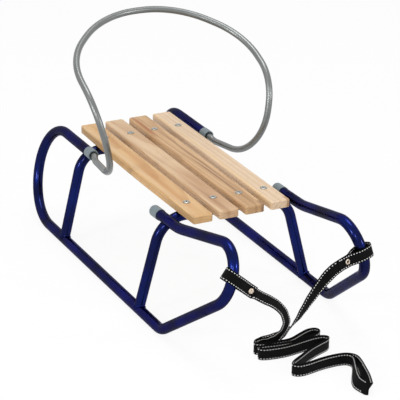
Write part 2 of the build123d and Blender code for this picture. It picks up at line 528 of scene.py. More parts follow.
@dataclass(frozen=True)
class Thread:
    """White sewing thread."""

    base: Colour = (0.94, 0.94, 0.91)
    shaded: Colour = (0.705, 0.705, 0.6825)
    fuzz_grain: Grain = Grain(2500.0, 2.0)
    roughness: float = 0.75
    sheen: float = 0.2

    def make(self) -> bpy.types.Material:
        """Build the finish.

        Returns:
            The material.
        """
        graph = Graph("white_thread")
        fuzz = graph.noise(graph.place(), self.fuzz_grain)
        return graph.finish(
            Base_Color=graph.tint(fuzz, self.shaded, self.base),
            Roughness=self.roughness,
            Sheen_Weight=self.sheen,
        )


@dataclass(frozen=True)
class Stain:
    """A stretch of a board with another colour, in metres."""

    colour: Colour
    start_x: float
    end_x: float
    middle_y: float
    half_width: float
    strength: float
    fade_x: float
    slant: float
    bend_share: float = 0.8
    edge_span: Pair = (0.35, 1.15)
    least_cover: float = 0.45
    band_cover: float = 0.9

    def cover(self, x: Wire, y: Wire, bend: Wire, band: Wire) -> Wire:
        """Work out where the stain covers the board.

        Args:
            x: Place along the board.
            y: Place across the board.
            bend: How far the grain wanders.
            band: Bands along the grain.

        Returns:
            The stain's share of the colour, from 0 to 1.
        """
        begin = x.step_up((self.start_x - self.fade_x, self.start_x + self.fade_x))
        finish = 1 - x.step_up((self.end_x - self.fade_x, self.end_x + self.fade_x))
        off_line = y - self.middle_y - x * self.slant + bend * self.bend_share
        near = 1 - (off_line.size() / self.half_width).step_up(self.edge_span)
        patches = self.least_cover + band * self.band_cover
        return begin * finish * near * patches * self.strength


@dataclass(frozen=True)
class Streak:
    """Noise drawn out along a board: cells to a metre along x, y and z, octaves, falloff."""

    cells: Triple
    octaves: float
    falloff: float = 0.5


@dataclass(frozen=True)
class SlatWood:
    """Clear-lacquered board, cut beside the heart of the log.

    The shares of the shade are those of band, mottle and fibre, and the shares of the
    relief are those of late wood, fibre and pore.
    """

    name: str
    pale: Colour
    tan: Colour
    line: Colour
    heart_y: float
    heart_z: float
    ring_pitch: float = 5.5 * MM
    rise: float = 0.03
    wander: float = 14.0 * MM
    seed: float = 0.0
    stains: tuple[Stain, ...] = ()
    slow: Streak = Streak((2.2, 7.0, 7.0), 2.0)
    sway: Streak = Streak((5.0, 16.0, 16.0), 3.0)
    sway_share: float = 0.35
    bend_up: float = 0.6
    fibre: Streak = Streak((9.0, 620.0, 620.0), 3.0, 0.6)
    band: Streak = Streak((2.6, 95.0, 95.0), 2.0)
    pore: Streak = Streak((45.0, 1500.0, 1500.0), 2.0)
    pore_span: Pair = (0.6, 0.72)
    mottle: Streak = Streak((14.0, 40.0, 40.0), 3.0)
    seed_shift: Triple = (1.0, 0.37, 0.11)
    late_span: Pair = (0.35, 0.96)
    early_span: Pair = (0.955, 1.0)
    shade_shares: Triple = (0.55, 0.35, 0.3)
    shade_drop: float = 0.1
    shade_span: Pair = (0.2, 0.8)
    line_cover: float = 0.25
    line_bands: float = 0.5
    fibre_span: Pair = (0.5, 0.72)
    fibre_dark: float = 0.34
    pore_dark: float = 0.45
    shadow: Colour = (0.72, 0.72, 0.72)
    relief_shares: Triple = (0.4, 0.5, 0.3)
    grain_depth: float = 0.12 * MM
    grain_strength: float = 0.6
    roughness: float = 0.46
    scatter: float = 0.1
    specular: float = 0.4
    lacquer: float = 0.12
    lacquer_roughness: float = 0.25

    def draw_out(self, graph: Graph, streak: Streak) -> Wire:
        """Read one streak's noise, moved so that no two boards are alike.

        Args:
            graph: Graph that it is added to.
            streak: Its sizes.

        Returns:
            The noise, from 0 to 1.
        """
        shift = tuple(part * self.seed for part in self.seed_shift)
        grain = Grain(1.0, streak.octaves, streak.falloff)
        return graph.noise(graph.place(streak.cells, shift), grain)

    def make(self) -> bpy.types.Material:
        """Build the finish.

        Returns:
            The material.
        """
        graph = Graph(self.name)
        x, y, z = graph.axes(graph.place())
        slow, sway = self.draw_out(graph, self.slow), self.draw_out(graph, self.sway)
        bend = (slow - 0.5) * self.wander + (sway - 0.5) * (self.sway_share * self.wander)
        out_y = y - self.heart_y + bend
        out_z = z - self.heart_z + x * self.rise + bend * self.bend_up
        radius = (out_y * out_y + out_z * out_z) ** 0.5
        ring = (radius / self.ring_pitch).fraction()
        late = ring.step_up(self.late_span) * (1 - ring.step_up(self.early_span))
        fibre, band = self.draw_out(graph, self.fibre), self.draw_out(graph, self.band)
        pore = self.draw_out(graph, self.pore).step_up(self.pore_span)
        mottle = self.draw_out(graph, self.mottle)
        shares = self.shade_shares
        shade = band * shares[0] + mottle * shares[1] + fibre * shares[2] - self.shade_drop
        colour = graph.tint(shade.step_up(self.shade_span), self.pale, self.tan)
        lines = late * (self.line_cover + band * self.line_bands)
        colour = graph.tint(lines, colour, self.line)
        for stain in self.stains:
            colour = graph.tint(stain.cover(x, y, bend, band), colour, stain.colour)
        dark = graph.tint(1.0, colour, self.shadow, "MULTIPLY")
        fleck = pore * self.pore_dark + fibre.step_up(self.fibre_span) * self.fibre_dark
        shares = self.relief_shares
        relief = late * shares[0] + fibre * shares[1] - pore * shares[2]
        return graph.finish(
            Base_Color=graph.tint(fleck, colour, dark),
            Roughness=self.roughness + fibre * self.scatter + pore * self.scatter,
            Normal=graph.bump(relief, self.grain_depth, self.grain_strength),
            Specular_IOR_Level=self.specular,
            Coat_Weight=self.lacquer,
            Coat_Roughness=self.lacquer_roughness,
        )


# ---- Mesh helpers


def make_object(
    name: str,
    vertices: Sequence[Vector],
    faces: Sequence[Sequence[int]],
    finish: bpy.types.Material,
    smooth_angle: float = FLAT_ANGLE,
) -> bpy.types.Object:
    """Make a mesh object with one finish.

    Args:
        name: Name of the object.
        vertices: Its points.
        faces: Its faces as point numbers.
        finish: Its material.
        smooth_angle: Edges sharper than this many degrees stay sharp.

    Returns:
        The object, linked to the scene.
    """
    mesh = bpy.data.meshes.new(name)
    mesh.from_pydata([tuple(vertex) for vertex in vertices], [], [tuple(face) for face in faces])
    mesh.materials.append(finish)
    mesh.shade_smooth()
    mesh.set_sharp_from_angle(angle=math.radians(smooth_angle))
    thing = bpy.data.objects.new(name, mesh)
    bpy.context.scene.collection.objects.link(thing)
    return thing


def spline_points(name: str, controls: Sequence[Vector], fineness: int) -> list[Vector]:
    """Read points from a smooth spline.

    Args:
        name: Name of the curve while it is needed.
        controls: Control points of the spline.
        fineness: Steps of the curve between two control points.

    Returns:
        Points along the curve, in order.
    """
    curve = bpy.data.curves.new(name, "CURVE")
    curve.dimensions = "3D"
    spline = curve.splines.new("NURBS")
    spline.points.add(len(controls) - 1)
    for point, control in zip(spline.points, controls):
        point.co = (*control, 1.0)
    spline.order_u = 3
    spline.use_endpoint_u = True
    spline.resolution_u = fineness
    holder = bpy.data.objects.new(name, curve)
    bpy.context.scene.collection.objects.link(holder)
    bpy.context.view_layer.update()
    depsgraph = bpy.context.evaluated_depsgraph_get()
    line = bpy.data.meshes.new_from_object(holder.evaluated_get(depsgraph))
    points = [vertex.co.copy() for vertex in line.vertices]
    bpy.data.meshes.remove(line)
    bpy.data.objects.remove(holder)
    bpy.data.curves.remove(curve)
    return points


def ring_faces(rings: int, sides: int, closed: bool) -> Faces:
    """Join rings of points with four-sided faces.

    Args:
        rings: Number of rings.
        sides: Points in each ring.
        closed: Whether the last ring joins the first.

    Returns:
        The faces as point numbers.
    """
    faces = []
    for ring in range(rings if closed else rings - 1):
        here, onward = ring * sides, (ring + 1) % rings * sides
        for side in range(sides):
            turn = (side + 1) % sides
            faces.append((here + side, here + turn, onward + turn, onward + side))
    return faces


def capped_faces(rings: int, sides: int) -> Faces:
    """Join rings of points with four-sided faces and close both ends.

    Args:
        rings: Number of rings.
        sides: Points in each ring.

    Returns:
        The faces as point numbers.
    """
    faces = ring_faces(rings, sides, closed=False)
    faces.append(tuple(reversed(range(sides))))
    faces.append(tuple(range((rings - 1) * sides, rings * sides)))
    return faces


def turned(profile: Sequence[Pair], place: Vector, axis: Vector, hollow: bool = False) -> Shape:
    """Turn a profile about an axis.

    Args:
        profile: Pairs of a radius and a height, from one end to the other.
        place: Foot of the axis.
        axis: Direction of the axis.
        hollow: Whether the profile closes on itself round an open hole.

    Returns:
        Points and faces.
    """
    sides = 32
    across = axis.orthogonal().normalized()
    around = axis.cross(across)
    vertices = []
    for radius, height in profile:
        for side in range(sides):
            angle = 2 * math.pi * side / sides
            out = across * math.cos(angle) + around * math.sin(angle)
            vertices.append(place + axis * height + out * radius)
    if hollow:
        return vertices, ring_faces(len(profile), sides, closed=True)
    return vertices, capped_faces(len(profile), sides)


def joined(
    name: str, parts: Sequence[Shape], finish: bpy.types.Material, smooth_angle: float
) -> bpy.types.Object:
    """Make one object of several meshes.

    Args:
        name: Name of the object.
        parts: Points and faces of each mesh.
        finish: Its material.
        smooth_angle: Edges sharper than this many degrees stay sharp.

    Returns:
        The object, linked to the scene.
    """
    vertices, faces = [], []
    for part_vertices, part_faces in parts:
        base = len(vertices)
        vertices += part_vertices
        faces += [tuple(base + corner for corner in face) for face in part_faces]
    return make_object(name, vertices, faces, finish, smooth_angle)


# ---- Frame details


@dataclass
class SeatScrews:
    """Cross-recessed screws that hold the slats on the arch bars."""

    finish: bpy.types.Material
    front_x: float = 141.5 * MM
    rear_x: float = -252.5 * MM
    rows: tuple[float, ...] = (-86.56 * MM, -28.85 * MM, 28.85 * MM, 86.56 * MM)
    first_row_bow: float = 2.1 * MM
    seat_top: float = 228.0 * MM
    head_radius: float = 7.2 * MM
    head_height: float = 2.7 * MM
    recess_reach: float = 4.0 * MM
    recess_half: float = 0.85 * MM
    recess_depth: float = 2.4 * MM
    recess_wall: float = 0.35 * MM
    dome_share: float = 0.75
    rim_depth: float = 0.4 * MM
    rings: int = 12
    sides: int = 48
    turn_seed: int = 7

    def places(self) -> list[tuple[str, float, float]]:
        """List the screws.

        Returns:
            Name and place of each one.
        """
        found = []
        for number, y in enumerate(self.rows, start=1):
            bow = self.first_row_bow if number == 1 else 0.0
            for end, x in (("front", self.front_x), ("rear", self.rear_x)):
                found.append((f"{end}_{number}", x, y - bow))
        return found

    def height(self, x: float, y: float) -> float:
        """Work out the head's surface, with its cross recess.

        Args:
            x: Place along one arm of the cross, from the head's middle.
            y: Place along the other arm.

        Returns:
            Height of the surface there.
        """
        share = min(math.hypot(x, y) / self.head_radius, 1.0)
        dome = self.head_height * math.sqrt(max(1 - self.dome_share * share * share, 0.0))
        spare = min(
            max(abs(x) - self.recess_reach, abs(y) - self.recess_half),
            max(abs(y) - self.recess_reach, abs(x) - self.recess_half),
        )
        return dome - self.recess_depth * min(max(-spare / self.recess_wall, 0.0), 1.0)

    def head(self, name: str, place: Vector, turn: float) -> bpy.types.Object:
        """Make one dome head, laid out as a grid of rings.

        Args:
            name: Name of the piece.
            place: Middle of the head on the seat's top.
            turn: Angle of its cross.

        Returns:
            The piece.
        """
        angles = [2 * math.pi * side / self.sides for side in range(self.sides)]
        vertices = []
        for ring in range(self.rings + 1):
            radius = self.head_radius * ring / self.rings
            for angle in angles:
                height = self.height(radius * math.cos(angle), radius * math.sin(angle))
                out = Vector((math.cos(angle + turn), math.sin(angle + turn), 0.0)) * radius
                vertices.append(place + out + UP * height)
        for angle in angles:
            out = Vector((math.cos(angle + turn), math.sin(angle + turn), 0.0))
            vertices.append(place + out * self.head_radius - UP * self.rim_depth)
        faces = ring_faces(self.rings + 2, self.sides, closed=False)
        faces.append(tuple(range(len(vertices) - self.sides, len(vertices))))
        return make_object(name, vertices, faces, self.finish, BEVEL_ANGLE)

    def build(self) -> None:
        """Make every screw."""
        draw = random.Random(self.turn_seed)
        for name, x, y in self.places():
            place = Vector((x, y, self.seat_top))
            screw = self.head("screw_" + name, place, draw.uniform(0.0, math.pi))
            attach(screw, Body.SLED.value)
            LOG.info("screw %s", name)


@dataclass
class WeldBeads:
    """Weld beads where the arches meet the runners."""

    finish: bpy.types.Material
    tube_radius: float = 11.0 * MM
    half_track: float = 190.8 * MM
    lean_share: float = 0.2647
    bar_z: float = 200.0 * MM
    arches: tuple[tuple[str, float, float, float], ...] = (
        ("front", 138.0 * MM, 138.0 * MM, 207.3 * MM),
        ("rear", -255.1 * MM, -242.4 * MM, 211.0 * MM),
    )
    bead_radius: float = 2.3 * MM
    ripple: float = 0.3 * MM
    ripple_points: int = 4
    unevenness: float = 0.12 * MM
    shoulder_reach: float = 6.2 * MM
    shoulder_share: float = 0.85
    rail_share: float = 0.9
    tube_bite: float = 0.4 * MM
    foot_points: int = 72
    shoulder_points: int = 36
    shoulder_seed: int = 20
    sides: int = 10

    def bead(self, name: str, line: list[Vector], radius: float, seed: int) -> bpy.types.Object:
        """Make one closed bead with ripples.

        Args:
            name: Name of the piece.
            line: Points round the joint.
            radius: Radius of the bead.
            seed: Seed of its unevenness.

        Returns:
            The piece.
        """
        draw = random.Random(seed)
        count, sides = len(line), self.sides
        vertices = []
        sway = [draw.uniform(-1.0, 1.0) for _ in range(count)]
        for index, point in enumerate(line):
            tangent = (line[(index + 1) % count] - line[index - 1]).normalized()
            across = tangent.orthogonal().normalized()
            if index:
                across = (last - tangent * last.dot(tangent)).normalized()
            last = across
            around = tangent.cross(across)
            wave = self.ripple * math.sin(2 * math.pi * index / self.ripple_points)
            wave += self.unevenness * sway[index]
            for side in range(sides):
                angle = 2 * math.pi * side / sides
                out = across * math.cos(angle) + around * math.sin(angle)
                vertices.append(point + out * (radius + wave))
        faces = ring_faces(count, sides, closed=True)
        return make_object(name, vertices, faces, self.finish, BEAD_ANGLE)

    def foot_line(self, foot: Vector, leg: Vector) -> list[Vector]:
        """Find where a leg's surface meets the ground tube.

        Args:
            foot: Where the two middle lines meet.
            leg: Direction of the leg's middle line, upwards.

        Returns:
            Points round the joint.
        """
        across = Vector((0.0, 1.0, 0.0))
        across = (across - leg * leg.y).normalized()
        along = leg.cross(across)
        line = []
        radius = self.tube_radius
        for step in range(self.foot_points):
            angle = 2 * math.pi * step / self.foot_points
            rim = (along * math.cos(angle) + across * math.sin(angle)) * radius
            a = leg.y**2 + leg.z**2
            b = 2 * (rim.y * leg.y + rim.z * leg.z)
            c = rim.y**2 + rim.z**2 - radius**2
            root = math.sqrt(max(b * b - 4 * a * c, 0.0))
            line.append(foot + rim + leg * ((-b + root) / (2 * a)))
        return line

    def shoulder_line(self, contact: Vector, offset: Vector) -> list[Vector]:
        """Lay a small saddle in the wedge between a shoulder and its rail.

        Args:
            contact: Where the two tubes touch.
            offset: Direction from the arch to the rail.

        Returns:
            Points round the joint.
        """
        along = Vector((1.0, 0.0, 0.0))
        tangent = along.cross(offset)
        line = []
        for step in range(self.shoulder_points):
            angle = 2 * math.pi * step / self.shoulder_points
            rail_way = self.shoulder_reach * math.cos(angle) * self.rail_share
            arch_way = self.shoulder_reach * math.sin(angle)
            lift = (rail_way**2 - arch_way**2) / (4 * self.tube_radius)
            line.append(contact + along * rail_way + tangent * arch_way - offset * lift)
        return line

    def shoulder_contact(self, rail_z: float) -> tuple[Vector, Vector]:
        """Find where a shoulder touches its rail.

        Args:
            rail_z: Height of the rail's middle there.

        Returns:
            The point, and the direction from the arch to the rail.
        """
        radius = self.tube_radius

        def loop_y(z: float) -> float:
            """Distance of the runner from the middle at a height."""
            return self.half_track - self.lean_share * (z - radius)

        corner = Vector((0.0, loop_y(self.bar_z), self.bar_z))
        rail = Vector((0.0, loop_y(rail_z), rail_z))
        lean = math.atan(self.lean_share)
        down_leg = Vector((0.0, math.sin(lean), -math.cos(lean)))
        along_bar = Vector((0.0, -1.0, 0.0))
        inward = (down_leg + along_bar).normalized()
        reach = 1 / math.sin(down_leg.angle(along_bar) / 2)
        gap = 2 * radius - self.tube_bite
        away = corner - rail
        a = reach * reach - 1
        b = 2 * (reach * away.dot(inward) - gap)
        c = away.dot(away) - gap * gap
        bend = (-b + math.sqrt(b * b - 4 * a * c)) / (2 * a)
        middle = corner + inward * (reach * bend)
        offset = (rail - middle).normalized()
        return rail - offset * (gap / 2), offset

    def build(self) -> None:
        """Make every bead."""
        seed = 0
        for arch, bar_x, foot_x, rail_z in self.arches:
            for side, sign in (("right", -1), ("left", 1)):
                seed += 1
                foot = Vector((foot_x, sign * self.half_track, self.tube_radius))
                top_y = self.half_track - self.lean_share * (self.bar_z - self.tube_radius)
                leg = (Vector((bar_x, sign * top_y, self.bar_z)) - foot).normalized()
                contact, offset = self.shoulder_contact(rail_z)
                contact = Vector((bar_x, sign * contact.y, contact.z))
                offset = Vector((0.0, sign * offset.y, offset.z))
                name = f"{arch}_{side}"
                low_line, high_line = self.foot_line(foot, leg), self.shoulder_line(contact, offset)
                low, high = "weld_foot_" + name, "weld_shoulder_" + name
                high_radius = self.shoulder_share * self.bead_radius
                pieces = (
                    self.bead(low, low_line, self.bead_radius, seed),
                    self.bead(high, high_line, high_radius, seed + self.shoulder_seed),
                )
                for piece in pieces:
                    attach(piece, Body.SLED.value)
                LOG.info("welds %s", name)


@dataclass
class BowedSlat:
    """Right outer slat: straight along its inner edge and bowed along its outer one."""

    finish: bpy.types.Material
    rear_x: float = -340.4 * MM
    front_x: float = 214.0 * MM
    outer_y: float = -108.06 * MM
    inner_y: float = -65.06 * MM
    bow: float = 4.4 * MM
    bottom_z: float = 211.0 * MM
    top_z: float = 228.0 * MM
    plan_corner: float = 5.0 * MM
    top_round: float = 3.0 * MM
    bottom_bevel: float = 1.0 * MM
    round_steps: int = 5
    corner_steps: int = 8
    long_steps: int = 40

    @staticmethod
    def rounding(radius: float, away: float) -> float:
        """Give how far a rounded corner stands in, at a distance from the end."""
        left = max(radius - away, 0.0)
        return radius - math.sqrt(radius * radius - left * left)

    def section(self, x: float) -> list[Vector]:
        """Draw the board's section.

        Args:
            x: Place along the board.

        Returns:
            Points round the section, in order.
        """
        middle, half = (self.front_x + self.rear_x) / 2, (self.front_x - self.rear_x) / 2
        away = half - abs(x - middle)
        inset = self.rounding(self.plan_corner, away)
        low_y = self.outer_y - self.bow * (1 - ((x - middle) / half) ** 2) + inset
        high_y = self.inner_y - inset
        high_z = self.top_z - self.rounding(self.top_round, away)
        low_z = self.bottom_z + max(self.bottom_bevel - away, 0.0)
        turns = [math.pi / 2 * step / self.round_steps for step in range(self.round_steps + 1)]
        rounds = [
            (self.top_round * (1 - math.cos(turn)), self.top_round * (1 - math.sin(turn)))
            for turn in turns
        ]
        outline = [(low_y + self.bottom_bevel, low_z), (low_y, low_z + self.bottom_bevel)]
        outline += [(low_y + inward, high_z - down) for inward, down in rounds]
        outline += [(high_y - inward, high_z - down) for inward, down in reversed(rounds)]
        outline += [(high_y, low_z + self.bottom_bevel), (high_y - self.bottom_bevel, low_z)]
        return [Vector((x, y, z)) for y, z in outline]

    def build(self) -> None:
        """Make the board in the place of its plain solid."""
        steps = [
            self.plan_corner * (1 - math.cos(math.pi / 2 * step / self.corner_steps))
            for step in range(self.corner_steps + 1)
        ]
        stride = (self.front_x - self.rear_x - 2 * self.plan_corner) / self.long_steps
        places = [self.rear_x + step for step in steps]
        places += [places[-1] + stride * step for step in range(1, self.long_steps)]
        places += [self.front_x - step for step in reversed(steps)]
        vertices = [corner for x in places for corner in self.section(x)]
        faces = capped_faces(len(places), len(vertices) // len(places))
        board = make_object("seat_board_1", vertices, faces, self.finish, BEVEL_ANGLE)
        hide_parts("slat_1")
        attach(board, Body.SLED.value)
        LOG.info("board 1")


# ---- Pull strap


@dataclass
class Track:
    """A strap's middle line with its width direction at each point."""

    points: list[Vector]
    widths: list[Vector]

    def __post_init__(self) -> None:
        """Measure the line and square the width directions to it."""
        self.reach = [0.0]
        for before, here in zip(self.points, self.points[1:]):
            self.reach.append(self.reach[-1] + (here - before).length)
        count = len(self.points)
        self.tangents = []
        for index in range(count):
            before = self.points[max(index - 1, 0)]
            after = self.points[min(index + 1, count - 1)]
            self.tangents.append((after - before).normalized())
        self.widths = [
            (width - tangent * width.dot(tangent)).normalized()
            for width, tangent in zip(self.widths, self.tangents)
        ]

    @property
    def length(self) -> float:
        """Length of the line."""
        return self.reach[-1]

    def at(self, distance: float) -> tuple[Vector, Vector, Vector]:
        """Read the track at one place.

        Args:
            distance: How far along it.

        Returns:
            The point, the width direction and the face direction there.
        """
        index = 1
        while index < len(self.reach) - 1 and self.reach[index] < distance:
            index += 1
        span = self.reach[index] - self.reach[index - 1]
        share = (distance - self.reach[index - 1]) / span if span else 0.0
        share = min(max(share, 0.0), 1.0)
        point = self.points[index - 1].lerp(self.points[index], share)
        width = self.widths[index - 1].lerp(self.widths[index], share).normalized()
        tangent = self.tangents[index - 1].lerp(self.tangents[index], share).normalized()
        return point, width, tangent.cross(width).normalized()


@dataclass
class Ribbon:
    """Flat webbing with rounded selvedges and two rows of stitches on each face.

    The shape of a stitch pairs places along it, from 0 to 1, with its height above the
    face in radii of the thread.
    """

    finish: bpy.types.Material
    thread: bpy.types.Material
    width: float = 25.0 * MM
    thickness: float = 1.7 * MM
    stitch_inset: float = 3.0 * MM
    stitch_pitch: float = 5.8 * MM
    stitch_length: float = 2.8 * MM
    thread_radius: float = 0.75 * MM
    thread_sides: int = 5
    edge_shares: tuple[float, ...] = (0.0, 0.5, 0.86)
    flat_share: float = 0.9
    stitch_shape: tuple[Pair, ...] = (
        (0.0, -1.1),
        (0.12, 0.25),
        (0.5, 0.55),
        (0.88, 0.25),
        (1.0, -1.1),
    )

    def profile(self) -> list[Pair]:
        """Draw the section.

        Returns:
            Places across and out of the face, in order.
        """
        half_width, half_thickness = self.width / 2, self.thickness / 2
        edge = [
            (half_width - half_thickness * (1 - share), half_thickness * share)
            for share in self.edge_shares
        ]
        edge.append((half_width * self.flat_share, half_thickness))
        upper = [(-across, out) for across, out in edge] + [(0.0, half_thickness)]
        upper += reversed(edge)
        lower = [(across, -out) for across, out in reversed(upper[1:-1])]
        return upper + lower

    def weave(self, name: str, track: Track) -> bpy.types.Object:
        """Make the webbing along a track.

        Args:
            name: Name of the piece.
            track: Line that it follows.

        Returns:
            The piece.
        """
        section = self.profile()
        vertices = []
        for point, width, tangent in zip(track.points, track.widths, track.tangents):
            out_of_face = tangent.cross(width)
            vertices += [point + width * across + out_of_face * out for across, out in section]
        faces = capped_faces(len(track.points), len(section))
        piece = make_object(name, vertices, faces, self.finish, CLOTH_ANGLE)
        layer = piece.data.uv_layers.new(name="cloth")
        for loop in piece.data.loops:
            ring, corner = divmod(loop.vertex_index, len(section))
            layer.data[loop.index].uv = (track.reach[ring], section[corner][0])
        return piece

    def stitches(self, name: str, track: Track) -> bpy.types.Object:
        """Make the dashed sewing rows along a track.

        Args:
            name: Name of the piece.
            track: Line that it follows.

        Returns:
            The piece.
        """
        parts = []
        distance = self.stitch_pitch / 2
        while distance + self.stitch_length < track.length:
            for row in (-1, 1):
                for face in (-1, 1):
                    parts.append(self.stitch(track, distance, row, face))
            distance += self.stitch_pitch
        return joined(name, parts, self.thread, BEAD_ANGLE)

    def stitch(self, track: Track, start: float, row: int, face: int) -> Shape:
        """Shape one stitch, sunk into the webbing at both ends.

        Args:
            track: Line of the webbing.
            start: Distance along it where the stitch starts.
            row: Edge that it is sewn beside, as a sign.
            face: Face that it lies on, as a sign.

        Returns:
            Points and faces.
        """
        across = row * (self.width / 2 - self.stitch_inset)
        vertices = []
        for share, lift in self.stitch_shape:
            point, width, out_of_face = track.at(start + share * self.stitch_length)
            height = self.thickness / 2 + lift * self.thread_radius
            middle = point + width * across + out_of_face * face * height
            for side in range(self.thread_sides):
                angle = 2 * math.pi * side / self.thread_sides
                ring = width * math.cos(angle) + out_of_face * math.sin(angle)
                vertices.append(middle + ring * self.thread_radius)
        return vertices, ring_faces(len(self.stitch_shape), self.thread_sides, closed=False)


def facing(points: Sequence[Vector], hints: Sequence[tuple[float, Vector]]) -> Track:
    """Lay width directions along a line, blended between hints.

    Args:
        points: The line.
        hints: Pairs of a distance along the line and the width direction there, in order.

    Returns:
        The track.
    """
    reach = 0.0
    widths = []
    for index, point in enumerate(points):
        if index:
            reach += (point - points[index - 1]).length
        passed = sum(1 for distance, _ in hints if distance <= reach)
        low = hints[max(passed - 1, 0)]
        high = hints[min(passed, len(hints) - 1)]
        span = high[0] - low[0]
        share = (reach - low[0]) / span if span > 0 else 0.0
        share = share * share * (3 - 2 * share)
        widths.append(low[1].lerp(high[1], share).normalized())
    return Track(list(points), widths)


def in_metres(points: Iterable[Triple]) -> list[Vector]:
    """Turn points in millimetres into vectors in metres."""
    return [Vector(point) * MM for point in points]


class CutEnd(Enum):
    """Layer of a loop's stub that ends free."""

    TOWARDS_VIEWER = 1
    AWAY = -1


@dataclass
class Strand:
    """One riveted loop round a runner and the long strand from it to the handle.

    The places of hang and floor, and floor_z, are in millimetres. Each hint is a distance
    along the strand in metres and the way its width points there.
    """

    side: str
    ring: Vector
    axis: Vector
    rivet: Vector
    hang: list[Triple]
    floor: list[Pair]
    hints: list[tuple[float, Triple]]
    cut_end: CutEnd
    cut_reach: float
    floor_z: float = 13.0
    stub_front: float = 13.5 * MM
    stub_back: float = 7.0 * MM
    loop_radius: float = 13.7 * MM
    loop_slack: float = 7.0 * MM
    layer_offset: float = 0.95 * MM
    meet_reach: float = 0.7
    meet_offset: float = 0.4

    @property
    def towards(self) -> Vector:
        """Direction from the tube to the rivet."""
        return (self.rivet - self.ring).normalized()

    @property
    def across(self) -> Vector:
        """Width direction of the loop."""
        return (self.axis - self.towards * self.axis.dot(self.towards)).normalized()

    @property
    def viewer_way(self) -> Vector:
        """Face direction of the stub that shows in front."""
        face = self.across.cross(self.towards)
        return face if face.dot(TOWARDS_CAMERA) > 0 else -face

    @property
    def start(self) -> Vector:
        """Where the strand leaves the loop."""
        return self.rivet + self.towards * self.stub_front

    def route(self) -> list[Vector]:
        """Control points of the strand."""
        floor = [(x, y, self.floor_z) for x, y in self.floor]
        return [self.start, *in_metres(self.hang), *in_metres(floor)]

    def loop_route(self) -> list[Vector]:
        """Lay the loop, from its cut end round the tube to the strand.

        Returns:
            Its control points.
        """
        reach = (self.rivet - self.ring).length
        layer, radius, slack = self.layer_offset, self.loop_radius, self.loop_slack
        corner = radius * math.tan(math.pi / 8)
        flat = [
            (reach + self.cut_reach, layer),
            (reach, layer),
            (reach - self.stub_back, layer),
            (slack + corner, radius),
            (-slack - corner, radius),
            (-slack - radius, corner),
            (-slack - radius, -corner),
            (-slack - corner, -radius),
            (slack + corner, -radius),
            (reach - self.stub_back, -layer),
            (reach, -layer),
            (reach + self.meet_reach * self.stub_front, -self.meet_offset * layer),
            (reach + self.stub_front, 0.0),
        ]
        face = self.viewer_way * self.cut_end.value
        return [self.ring + self.towards * u + face * v for u, v in flat]


@dataclass
class PullStrap:
    """Two riveted loops round the runners and two strands folded on the floor."""

    ribbon: Ribbon
    rivet_finish: bpy.types.Material
    strands: list[Strand]
    fineness: int = 10
    loop_fineness: int = 8
    diameter: float = 25.0 * MM
    rivet_radius: float = 5.5 * MM
    rivet_hole: float = 2.3 * MM
    fold_reach: float = 3.2 * MM

    def rivet(self, strand: Strand) -> bpy.types.Object:
        """Make the rolled eyelet on one face of the stub and its domed cap on the other.

        Args:
            strand: Strand that it fastens.

        Returns:
            The piece.
        """
        stack = self.ribbon.thickness + strand.layer_offset
        rim, hole = self.rivet_radius, self.rivet_hole
        ring = [
            (hole, -0.6 * MM),
            (hole + 0.3 * MM, 0.5 * MM),
            (hole + 1.1 * MM, 0.95 * MM),
            (rim - 1.3 * MM, 0.9 * MM),
            (rim - 0.4 * MM, 0.55 * MM),
            (rim, 0.0),
            (rim - 0.2 * MM, -0.5 * MM),
        ]
        cap = [
            (0.2 * MM, 1.25 * MM),
            (0.45 * rim, 1.15 * MM),
            (0.75 * rim, 0.9 * MM),
            (0.93 * rim, 0.5 * MM),
            (rim, 0.0),
            (0.97 * rim, -0.5 * MM),
        ]
        face = strand.viewer_way
        ring_face = -face * strand.cut_end.value
        parts = [
            turned(ring, strand.rivet + ring_face * stack, ring_face, hollow=True),
            turned(cap, strand.rivet - ring_face * stack, -ring_face),
        ]
        return joined("strap_rivet_" + strand.side, parts, self.rivet_finish, RIVET_ANGLE)

    def loop(self, strand: Strand) -> list[bpy.types.Object]:
        """Make the loop round the runner.

        Args:
            strand: Strand that it belongs to.

        Returns:
            Its webbing and its sewing.
        """
        points = spline_points("loop_" + strand.side, strand.loop_route(), self.loop_fineness)
        track = Track(points, [strand.across] * len(points))
        webbing = self.ribbon.weave("strap_loop_webbing_" + strand.side, track)
        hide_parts("strap_loop_" + strand.side)
        return [webbing, self.ribbon.stitches("strap_loop_sewing_" + strand.side, track)]

    def fold(self, ends: list[Track]) -> bpy.types.Object:
        """Make the handle's fold, which joins the far ends of the two strands.

        Args:
            ends: Tracks of both strands.

        Returns:
            The piece.
        """
        first, second = ends
        onward = ((first.tangents[-1] + second.tangents[-1]) / 2).normalized()
        near, far = first.points[-1], second.points[-1]
        reach = onward * self.fold_reach
        points = spline_points("fold", [near, near + reach, far + reach, far], self.loop_fineness)
        width = (first.widths[-1] + second.widths[-1]).normalized()
        return self.ribbon.weave("strap_handle_fold", Track(points, [width] * len(points)))

    def build(self) -> None:
        """Make and dress every piece of the strap."""
        ends = []
        for strand in self.strands:
            points = spline_points("route_" + strand.side, strand.route(), self.fineness)
            hints = [(0.0, strand.across)]
            hints += [(distance, Vector(width)) for distance, width in strand.hints]
            track = facing(points, hints)
            ends.append(track)
            webbing = self.ribbon.weave("strap_webbing_" + strand.side, track)
            sewing = self.ribbon.stitches("strap_sewing_" + strand.side, track)
            for piece in (webbing, sewing, *self.loop(strand)):
                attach(piece, Body.SLED.value)
            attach(self.rivet(strand), Body.SLED.value)
            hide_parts("strap_" + strand.side)
            LOG.info("strap %s: %.3f m", strand.side, track.length)
        fold = self.fold(ends)
        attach(fold, Body.SLED.value)
        LOG.info("strap handle fold")


